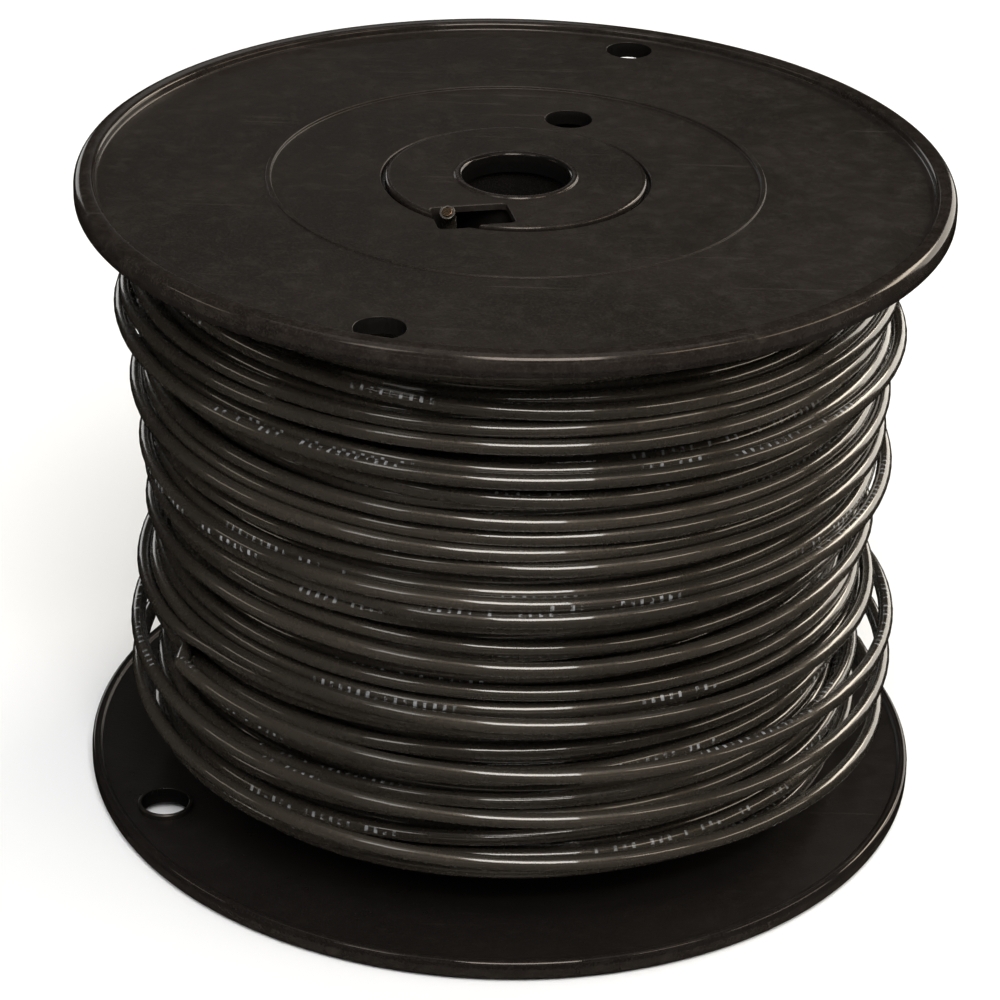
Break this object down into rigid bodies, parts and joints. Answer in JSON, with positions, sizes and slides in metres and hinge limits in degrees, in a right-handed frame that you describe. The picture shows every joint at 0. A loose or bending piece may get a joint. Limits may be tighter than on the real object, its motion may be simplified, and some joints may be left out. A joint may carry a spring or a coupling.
{
  "type": "wire spool",
  "caption": "Round flanged reel of black jacketed building wire, with an arbor bore, tie-off holes and a start slot.",
  "frame": {"origin": "on the reel's axis, in the plane of the lower flange's rim, which the reel stands on", "axes": "+Z along the reel's axis, upwards; +X to the right and -Y towards the viewer of the front"},
  "size_m": [0.165, 0.165, 0.127],
  "materials": {
    "reel_plastic": "satin moulded, faintly mottled, scuffed",
    "wire_jacket": "glossy nylon jacket",
    "copper": "bare cut copper"
  },
  "bodies": {
    "root": {"upper_flange": "reel_plastic", "lower_flange": "reel_plastic", "upper_hub_plug": "reel_plastic", "lower_hub_plug": "reel_plastic", "barrel": "reel_plastic", "wire_winding": "wire_jacket", "wire_last_turns": "wire_jacket", "wire_start_end": "wire_jacket", "wire_start_conductor": "copper", "wire_finish_conductor": "copper"}
  },
  "joints": []
}
